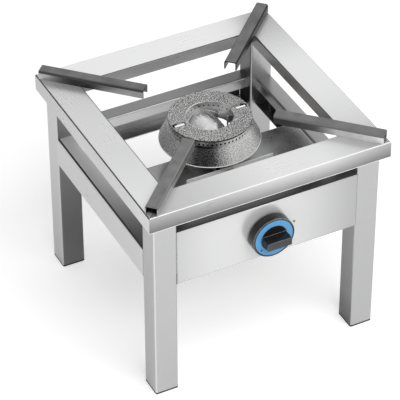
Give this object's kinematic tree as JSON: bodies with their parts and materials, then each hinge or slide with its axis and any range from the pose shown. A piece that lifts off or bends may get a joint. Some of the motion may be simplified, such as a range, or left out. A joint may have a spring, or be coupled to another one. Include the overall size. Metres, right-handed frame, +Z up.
{
  "type": "stock pot range",
  "caption": "Low square stool range in folded stainless sheet: open top frame with diagonal pot bars, a ring gas burner on a cross plate, a front valve knob and tube legs.",
  "frame": {"origin": "on the floor, under the middle of the whole part's footprint, knob and gas inlet included", "axes": "+Z up, the control knob faces -Y, +X to the right as seen from the knob's side"},
  "size_m": [0.4, 0.4314, 0.37],
  "materials": {
    "brushed_sheet": "fine brushed stainless sheet",
    "plain_sheet": "plain stainless sheet",
    "bar_steel": "darker rolled steel",
    "cast_grey": "rough sand-cast metal with an aluminium grey coat",
    "bright_steel": "bright turned steel",
    "zinc_steel": "zinc plated",
    "brass": "turned brass",
    "copper_pipe": "plain copper",
    "foot_plastic": "moulded plastic",
    "knob_plastic": "black moulded plastic with a soft sheen",
    "ring_blue": "light blue printed ring",
    "index_paint": "olive drab dot"
  },
  "bodies": {
    "stove": {"top_rail_front": "brushed_sheet", "top_rail_rear": "brushed_sheet", "top_rail_left": "brushed_sheet", "top_rail_right": "brushed_sheet", "leg_front_left": "brushed_sheet", "leg_front_right": "brushed_sheet", "leg_rear_left": "brushed_sheet", "leg_rear_right": "brushed_sheet", "foot_front_left": "foot_plastic", "foot_front_right": "foot_plastic", "foot_rear_left": "foot_plastic", "foot_rear_right": "foot_plastic", "pot_bar_front_left": "bar_steel", "pot_bar_front_right": "bar_steel", "pot_bar_rear_left": "bar_steel", "pot_bar_rear_right": "bar_steel", "front_panel": "brushed_sheet", "left_panel": "brushed_sheet", "right_panel": "brushed_sheet", "rear_panel": "brushed_sheet", "burner_plate": "plain_sheet", "plate_bolts": "zinc_steel", "burner_body": "cast_grey", "burner_bolts": "zinc_steel", "injector_bracket": "plain_sheet", "bracket_screws": "zinc_steel", "injector": "brass", "injector_holder": "brass", "valve_body": "brass", "valve_screws": "zinc_steel", "index_rivet": "index_paint", "feed_pipe": "copper_pipe", "feed_pipe_nuts": "brass", "supply_pipe": "copper_pipe", "supply_pipe_nuts": "brass", "inlet_connector": "brass", "inlet_locknut": "brass", "thermocouple": "bright_steel", "thermocouple_nut": "brass", "thermocouple_bracket": "plain_sheet", "thermocouple_lead": "copper_pipe"},
    "knob": {"control_knob": "knob_plastic", "knob_dial_ring": "ring_blue", "valve_spindle": "bright_steel"},
    "valve_core": {"valve_plug": "brass"},
    "crown": {"burner_crown": "cast_grey", "crown_lift_bars": "bright_steel"},
    "shutter": {"air_shutter": "zinc_steel"}
  },
  "joints": [
    {"name": "valve_turn", "type": "hinge", "parent": "stove", "child": "valve_core", "pos_m": [0, -0.15975, 0.252], "axis": [0, -1, 0], "range_deg": [0, 200]},
    {"name": "knob_push", "type": "slide", "parent": "valve_core", "child": "knob", "axis": [0, 1, 0], "range_m": [0, 0.003], "stiffness_N_per_m": 600, "springref_m": -0.004},
    {"name": "crown_lift", "type": "slide", "parent": "stove", "child": "crown", "axis": [0, 0, 1], "range_m": [0, 0.08]},
    {"name": "shutter_slide", "type": "slide", "parent": "stove", "child": "shutter", "axis": [0, 1, 0], "range_m": [-0.002, 0.009]}
  ]
}
